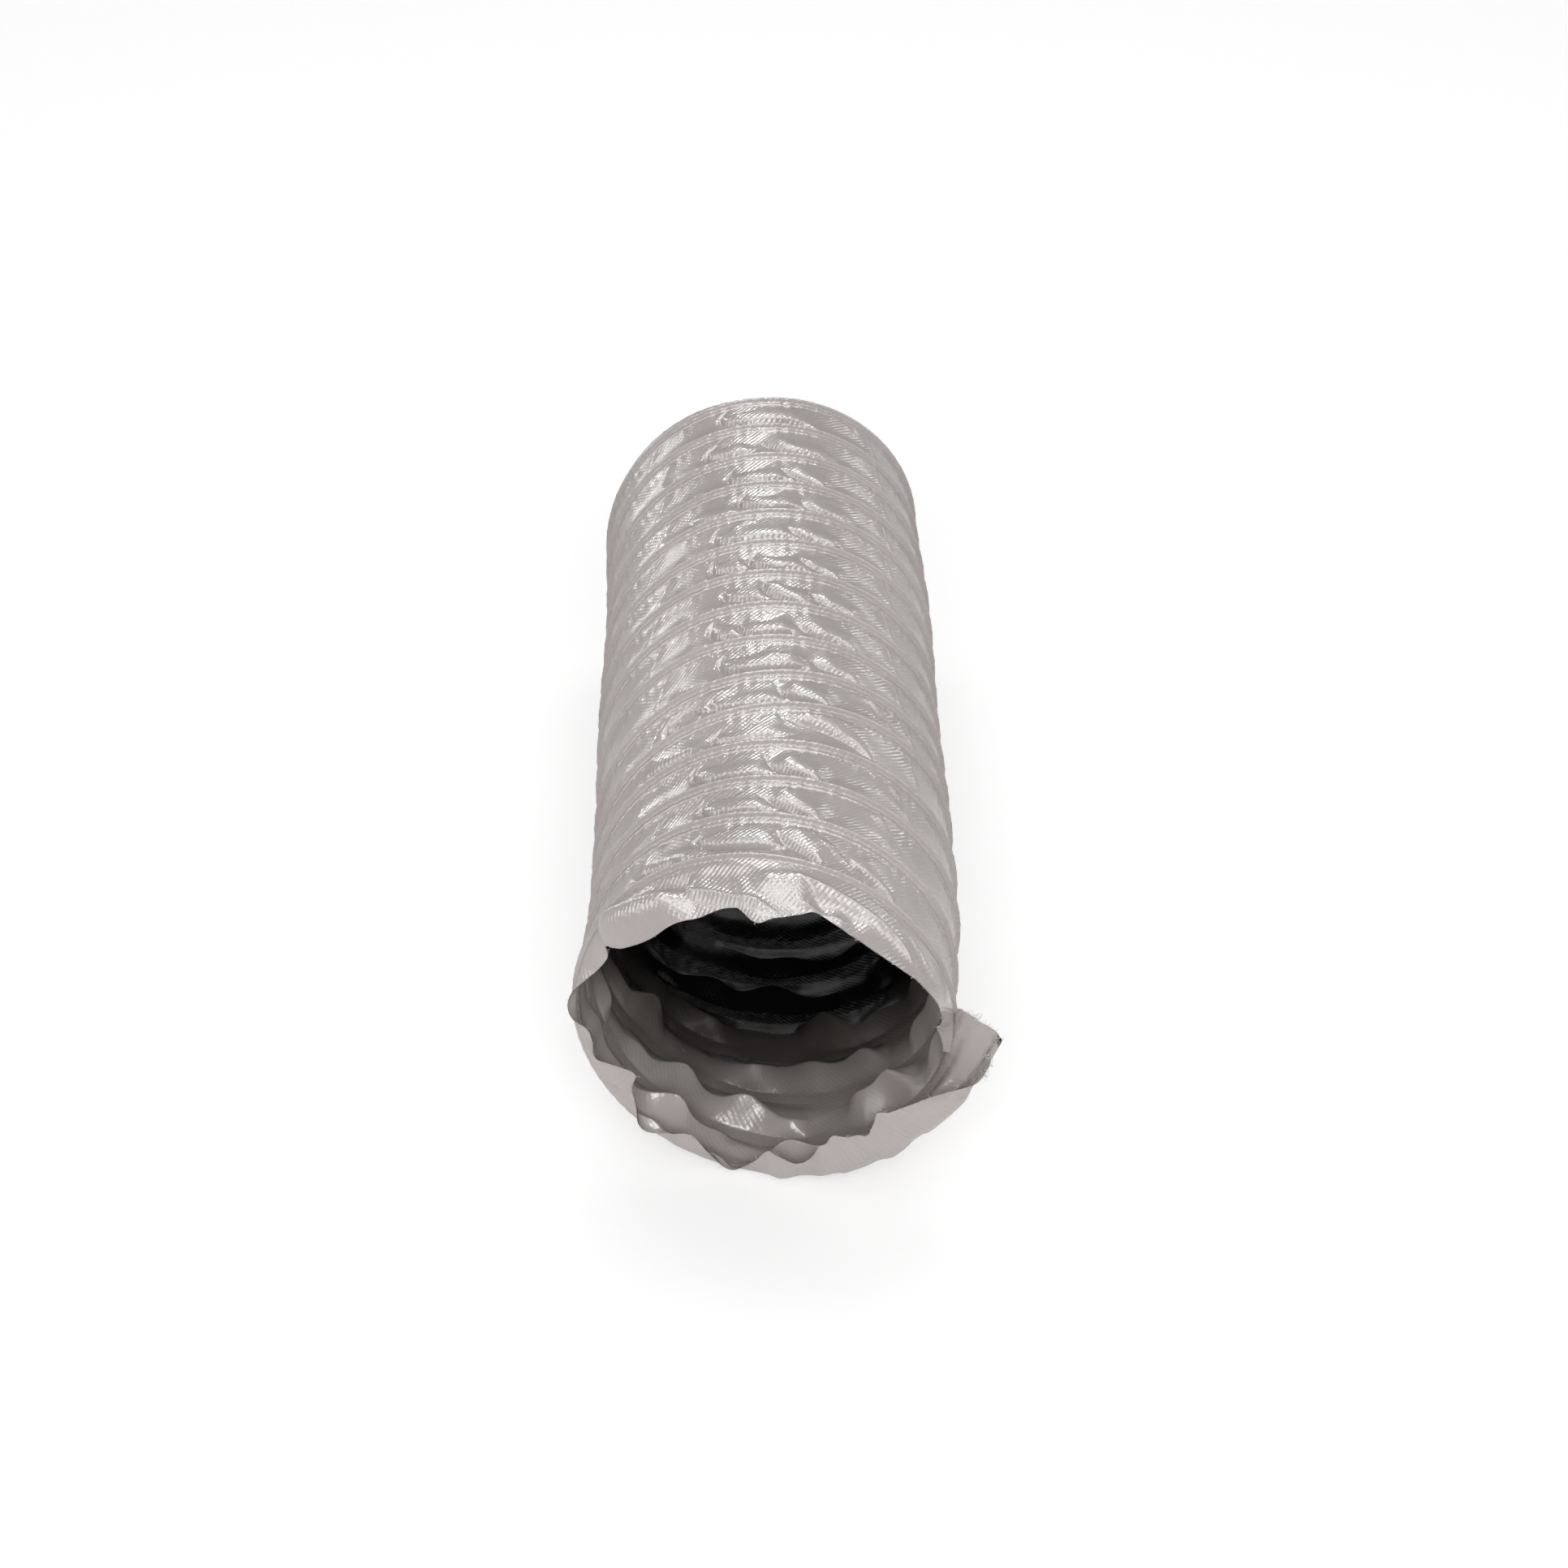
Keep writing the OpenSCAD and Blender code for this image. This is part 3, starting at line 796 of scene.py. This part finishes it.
# %% A node tree that sweeps a round wire along a path
def wire_tree():
    tree, given, node = geometry_tree("sweep_spring_wire", (
        ("Path", "Geometry"), ("Wire radius", "Float"), ("Sides", "Int"), ("Wire finish", "Material")), "Wire")
    path = node("GeometryNodeMeshToCurve", {"Mesh": given["Path"]})
    ring = node("GeometryNodeCurvePrimitiveCircle", {"Radius": given["Wire radius"], "Resolution": given["Sides"]})
    tube = node("GeometryNodeCurveToMesh", {"Curve": path, "Profile Curve": ring}, Fill_Caps=True)
    return finish_tree(tree, tube, given["Wire finish"])


def path_mesh(name, points):
    """A chain of edges through points in mm."""
    mesh = bpy.data.meshes.new(name)
    mesh.from_pydata([tuple(p) for p in np.asarray(points) * MM], [(i, i + 1) for i in range(len(points) - 1)], [])
    return add_object(name, mesh)


def through_nodes(obj, tree, values):
    """Run a node tree on an object and keep the plain mesh."""
    mod = obj.modifiers.new("shape", "NODES")
    mod.node_group = tree
    for item in tree.interface.items_tree:
        if item.in_out == "INPUT" and item.name in values:
            mod[item.identifier] = values[item.name]
    ready = obj.evaluated_get(bpy.context.evaluated_depsgraph_get())
    mesh = bpy.data.meshes.new_from_object(ready)
    obj.modifiers.remove(mod)
    old, obj.data = obj.data, mesh
    bpy.data.meshes.remove(old)
    return obj


# %% [markdown]
# ## The finishes
#
# The strip is a polyester weave coated with soft PVC and run through hot rollers, so it
# has a smooth gloss with the weave showing through it. The gloss gives long clear
# highlights on the folds; the weave breaks them into fine rows of dots.

# %% PVC-coated weave: colour, weave and soft unevenness
THREAD = 0.9  # mm across one group of threads


def coated_weave():
    mat, node = new_material("pvc_coated_polyester_weave")
    uv = node("UVMap", uv_map="strip_mm")
    place = node("TexCoord").outputs["Object"]
    split = node("SeparateXYZ", {"Vector": uv}).outputs
    # the threads run slantwise: two crossed waves, thinned and thickened by a noise
    waves = []
    for way in ("SUBTRACT", "ADD"):
        slant = node("Math", {0: split[0], 1: split[1]}, operation=way)
        turn = node("Math", {0: slant}, operation="MULTIPLY")
        turn.inputs[1].default_value = math.pi / (THREAD * math.sqrt(2))
        waves.append(node("Math", {0: turn}, operation="SINE"))
    cross = node("Math", {0: waves[1], 2: waves[0]}, operation="MULTIPLY_ADD")
    cross.inputs[1].default_value = 0.45
    slub = node("TexNoise", {"Vector": uv}, Scale=0.35, Detail=3.0)
    woven = node("Math", {0: cross, 1: slub}, operation="MULTIPLY")
    # handling leaves soft waves and small dents; the weave shows less on the inside
    dent = node("TexNoise", {"Vector": place}, Scale=130.0, Detail=3.0, Roughness=0.55)
    wave = node("TexNoise", {"Vector": place}, Scale=45.0, Detail=2.0)
    waved = node("Bump", {"Height": wave}, Strength=0.35, Distance=0.003)
    dented = node("Bump", {"Height": dent, "Normal": waved}, Strength=0.3, Distance=0.0008)
    side = node("Attribute", attribute_name="inside").outputs["Fac"]
    relief = node("MapRange", {"Value": side}, To_Min=0.45, To_Max=0.2)
    bump = node("Bump", {"Height": woven, "Normal": dented, "Strength": relief}, Distance=0.0002)
    tint = node("TexNoise", {"Vector": place}, Scale=14.0, Detail=2.0)
    outside = colour_ramp(node, tint, (0.35, "#BDB5B2"), last=(0.65, "#C4BCB9"))
    # painted shade in the bore: the inner side is painted darker the farther it lies from the two cut ends, down to
    # near black deep inside
    along = node("SeparateXYZ", {"Vector": place}).outputs[1]
    reach = node("Math", {0: along}, operation="ABSOLUTE")
    painted_bore_shade = node("MapRange", {"Value": reach}, From_Min=0.205, From_Max=0.1, To_Min=0.0, To_Max=1.0)
    lining_with_painted_shade = colour_ramp(node, painted_bore_shade, (0, "#BDB5B2"), (0.35, "#B4ACA9"), (0.72, "#524D4B"), last=(1, "#0E0D0D"))
    paint = node("Mix", {0: side, 6: outside, 7: lining_with_painted_shade}, data_type="RGBA")
    rough = node("MapRange", {"Value": dent}, To_Min=0.2, To_Max=0.3)
    skin = node("BsdfPrincipled", {"Base Color": paint.outputs[2], "Roughness": rough, "Normal": bump}, IOR=1.5)
    return finish_material(mat, node, skin)


def drawn_steel():
    """Steel drawn cold through a die: a plain grey metal with fine streaks that dull its shine."""
    mat, node = new_material("hard_drawn_spring_steel")
    place = node("TexCoord").outputs["Object"]
    streak = node("TexNoise", {"Vector": place}, Scale=900.0, Detail=3.0)
    colour = colour_ramp(node, streak, (0, "#8E8F92"), last=(1, "#B4B5B8"))
    rough = node("MapRange", {"Value": streak}, To_Min=0.25, To_Max=0.45)
    steel = node("BsdfPrincipled", {"Base Color": colour, "Roughness": rough}, Metallic=1.0)
    return finish_material(mat, node, steel)


fabric_finish = coated_weave()
wire_finish = drawn_steel()

# %% Sweep the wire, two halves for each turn
WIRE_SIDES = 10
WIRE_STEP = 3  # degrees
FAR_TIP = 178  # the wire ends just inside the cut strip
sweep = wire_tree()
wires = {}
for k in range(1, TURNS + 1):
    for half, (a, b) in {"left": (-180, 0), "right": (0, 180)}.items():
        if (k, half) == (1, "left"):
            a = TIP_TURN - 1
        if (k, half) == (TURNS, "right"):
            b = FAR_TIP
        angle = np.linspace(a, b, int((b - a) / WIRE_STEP) + 1)
        r = WIRE_CENTRE_R + (flare(angle) if k == 1 else 0)
        path = path_mesh(f"spring_wire_{k:02d}_{half}", round_axis(angle, wire_y(angle + 360 * (k - 1)), r))
        wires[k, half] = through_nodes(path, sweep, {"Wire radius": WIRE_R * MM, "Sides": WIRE_SIDES,
                                                     "Wire finish": wire_finish})
print("wire pieces", len(wires))

# %% [markdown]
# ## Frayed threads
#
# A knife leaves loose ends of the polyester weave standing out of the cut coating. They
# repeat along a path, so Geometry Nodes set small bent threads on the raw edge, turned
# and sized at random from a fixed seed.

# %% White threads on the raw edges
def thread_tree():
    tree, given, node = geometry_tree("fray_threads", (
        ("Edge", "Geometry"), ("Threads", "Int"), ("Length", "Float"), ("Thread radius", "Float"), ("Seed", "Int"),
        ("Lowest turn", "Vector"), ("Highest turn", "Vector"), ("Thread finish", "Material")), "Fray")
    edge = node("GeometryNodeMeshToCurve", {"Mesh": given["Edge"]})
    spots = node("GeometryNodeCurveToPoints", {"Curve": edge, "Count": given["Threads"]}, mode="COUNT")
    # one bent thread of length 1, its root a little inside the cloth
    bent = node("GeometryNodeCurveQuadraticBezier", Resolution=4, Start=(0, 0, -0.3), Middle=(0.25, 0, 0.4),
                End=(-0.15, 0.2, 1))
    triple = node("ShaderNodeCombineXYZ", {i: given["Length"] for i in range(3)})
    size = node("GeometryNodeTransform", {"Geometry": bent, "Scale": triple})
    ring = node("GeometryNodeCurvePrimitiveCircle", {"Radius": given["Thread radius"]}, Resolution=4)
    thread = node("GeometryNodeCurveToMesh", {"Curve": size, "Profile Curve": ring}, Fill_Caps=True)
    turn = node("FunctionNodeRandomValue", {"Min": given["Lowest turn"], "Max": given["Highest turn"],
                                            "Seed": given["Seed"]}, data_type="FLOAT_VECTOR")
    grow = node("FunctionNodeRandomValue", {"Seed": given["Seed"]}, data_type="FLOAT")
    grow.inputs[2].default_value, grow.inputs[3].default_value = 0.35, 1.2
    many = node("GeometryNodeInstanceOnPoints", {"Points": spots, "Instance": thread, "Rotation": turn,
                                                 "Scale": grow.outputs[1]})
    return finish_tree(tree, many, given["Thread finish"])


def polyester_thread():
    """Bare spun yarn: off-white and dull, with a slight change of tone along it."""
    mat, node = new_material("bare_polyester_yarn")
    tone = node("TexNoise", {"Vector": node("TexCoord").outputs["Object"]}, Scale=1500.0)
    colour = colour_ramp(node, tone, (0, "#C9C6C2"), last=(1, "#E6E4E0"))
    return finish_material(mat, node, node("BsdfPrincipled", {"Base Color": colour}, Roughness=0.7))


THREAD_R = 0.1
TURN_AHEAD = ((0.7, -0.6, -3), (2.4, 0.6, 3))  # least and most turn in radians, for threads that point to -Y
TURN_BACK = ((-2.4, -0.6, -3), (-0.7, 0.6, 3))
fray_tree = thread_tree()
yarn_finish = polyester_thread()


def fray(name, points, threads, length, seed, turns):
    """Threads on a path; points and length are in mm."""
    values = {"Threads": threads, "Length": length * MM, "Thread radius": THREAD_R * MM, "Seed": seed,
              "Lowest turn": turns[0], "Highest turn": turns[1], "Thread finish": yarn_finish}
    return through_nodes(path_mesh(name, points), fray_tree, values)


def raw_edge(low, high, step):
    angle = np.arange(low, high, step)
    return lip_points(angle, np.ones_like(angle))


tip_path = np.concatenate([raw_edge(TIP_TURN, TIP_TURN + 6, 0.5)[::-1], tail_end])
mouth_fray = fray("frayed_threads_mouth", raw_edge(TIP_TURN, 96, 1.0), 150, 1.5, 3, TURN_AHEAD)
tip_fray = fray("frayed_threads_tip", tip_path, 130, 2.8, 5, TURN_AHEAD)
far_fray = fray("frayed_threads_far_end", far_edge, 110, 1.6, 8, TURN_BACK)

# %% [markdown]
# ## What moves with what
#
# In the front half the strip bends first and closes up second, in the back half the other
# way round, because the middle turn stands still. Here the rings and their wire halves only
# have their placement baked into their meshes; the pieces at the two ends are attached to
# the mouth end and the far end.


def blend_between(obj):
    """Only bakes the object's placement into its mesh."""
    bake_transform(obj)


for k in range(1, TURNS):
    web, middle = f"web_{k:02d}", middle_of(k)
    for obj in (near_rings[k], wires[k, "right"]):
        blend_between(obj)
    for obj in (far_rings[k], wires[k + 1, "left"]):
        blend_between(obj)
for obj in (first_piece, lip, wires[1, "left"], mouth_fray, tip_fray):
    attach(obj, "mouth_end")
for obj in (far_piece, wires[TURNS, "right"], far_fray):
    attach(obj, "far_end")

# %% Hide the imported solids that the skin and the wire replace, and give the cloth its finish
for k in range(1, TURNS):
    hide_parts(f"fabric_web_{k:02d}")
    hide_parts(f"fabric_turn_{k + 1:02d}")
    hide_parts(f"wire_turn_{k + 1:02d}")
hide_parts("fabric_turn_01")
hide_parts("mouth_cuff", "mouth_web")
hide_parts("wire_turn_01")
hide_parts("far_cuff")
fabric_pieces = [*near_rings.values(), *far_rings.values(), first_piece, lip, far_piece]
for obj in fabric_pieces:
    obj.data.materials.append(fabric_finish)

# %% Where each gap's rings start and are cut, worked out here but not used
# a ring is a strip once round the duct, a little wider than its share of the pitch
for k in range(1, TURNS):
    start, middle = FIRST_CUT if k == 1 else RIDGE_CUT, middle_of(k)

# %% [markdown]
# ## Floor, light and camera
#
# The duct lies on a white sweep. The sky and two softboxes give the even light. The gloss of
# the folds shows only the small windows: those behind light the tops of the folds, and the
# strips at the sides draw the long highlights down the flanks.

# %% White floor that keeps the shadow
def white_sweep():
    """Matt paper, which glows a little when it is looked at, so that only the shadow is darker than white."""
    mat, node = new_material("white_paper_sweep")
    grain = node("TexNoise", {"Vector": node("TexCoord").outputs["Object"]}, Scale=400.0, Detail=2.0)
    bump = node("Bump", {"Height": grain}, Strength=0.05, Distance=0.0002)
    paper = node("BsdfDiffuse", {"Normal": bump}, Color=linear("#F4F4F4"))
    glow = node("Emission", Color=linear("#FFFFFF"), Strength=0.45)
    ray = node("LightPath").outputs
    mirrored = node("Math", {0: ray["Is Camera Ray"], 1: ray["Is Glossy Ray"]}, operation="MAXIMUM")
    seen = node("Math", {0: mirrored, 1: ray["Is Transmission Ray"]}, operation="MAXIMUM")
    lit = node("AddShader", {0: paper, 1: glow})
    out = node("MixShader", {0: seen, 1: paper, 2: lit})
    return finish_material(mat, node, out)


FLOOR_HALF = 30  # m
floor_mesh = bpy.data.meshes.new("floor")
floor_mesh.from_pydata([(x * FLOOR_HALF, y * FLOOR_HALF, 0) for x, y in ((-1, -1), (1, -1), (1, 1), (-1, 1))],
                       [], [(0, 1, 2, 3)])
floor_mesh.materials.append(white_sweep())
add_object("floor", floor_mesh)

# %% Lamps and world
AIM_H, WINDOW_FAR, SOFTBOX_FAR = 0.1, 2.4, 3.0  # m


def window(name, turn, rise, size, glow, far=WINDOW_FAR):
    """A lamp seen from the duct at an angle from straight behind (turn) and above the floor (rise)."""
    t, r = math.radians(turn), math.radians(rise)
    at = (far * math.sin(t) * math.cos(r), far * math.cos(t) * math.cos(r), AIM_H + far * math.sin(r))
    data = bpy.data.lights.new(name, "AREA")
    data.shape = "RECTANGLE"
    data.size, data.size_y = size
    data.energy = glow * math.pi * size[0] * size[1]
    obj = add_object(name, data)
    obj.location = at
    obj.rotation_euler = (Vector((0, 0, AIM_H)) - Vector(at)).to_track_quat("-Z", "Y").to_euler()
    return obj


# these show only in the gloss
for name, turn, rise, size, glow in (
        ("back_window", 3, 48, (0.6, 0.6), 30), ("left_window", -34, 9, (0.24, 0.8), 16),
        ("right_window", 38, 14, (0.2, 0.7), 13), ("top_strip", 0, 84, (2.8, 0.9), 11),
        ("left_strip", -97, 30, (0.8, 2.2), 8), ("right_strip", 97, 30, (0.8, 2.2), 8),
        ("mouth_window", 178, 60, (1.0, 0.6), 19)):
    window(name, turn, rise, size, glow).visible_diffuse = False
# these light the cloth and don't show in its gloss
window("front_softbox", 180, 30, (2.4, 1.6), 3.3, SOFTBOX_FAR).visible_glossy = False
window("key_softbox", 0, 66, (2.0, 1.2), 1.45).visible_glossy = False
world = bpy.data.worlds.new("studio")
bpy.context.scene.world = world
world.use_nodes = True
sky = world.node_tree.nodes["Background"].inputs
sky["Color"].default_value = linear("#FFFFFF")
sky["Strength"].default_value = 0.35

# %% Camera: a long lens, looking down at the mouth
CAM_AT = np.array([2.65, -1335.07, 905.81]) * MM
TILT, YAW, ROLL = (math.radians(v) for v in (32.24, -0.09, -0.36))
LENS_PER_WIDTH = 4288 / 1932  # focal length over the frame's width
SENSOR = 36
forward = Vector((math.sin(YAW) * math.cos(TILT), math.cos(YAW) * math.cos(TILT), -math.sin(TILT)))
right = Vector((math.cos(YAW), -math.sin(YAW), 0))
up = right.cross(forward)
right_r = right * math.cos(ROLL) + up * math.sin(ROLL)
up_r = up * math.cos(ROLL) - right * math.sin(ROLL)
cam_data = bpy.data.cameras.new("camera")
cam_data.sensor_width = SENSOR
cam_data.lens = LENS_PER_WIDTH * SENSOR
cam_data.clip_end = 100
cam = add_object("camera", cam_data)
cam.matrix_world = Matrix([[right_r[i], up_r[i], -forward[i], CAM_AT[i]] for i in range(3)] + [[0, 0, 0, 1]])
bpy.context.scene.camera = cam
bpy.context.scene.view_settings.view_transform = "Standard"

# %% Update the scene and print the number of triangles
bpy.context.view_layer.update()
print("triangles", sum(len(o.data.polygons) * 2 for o in fabric_pieces))
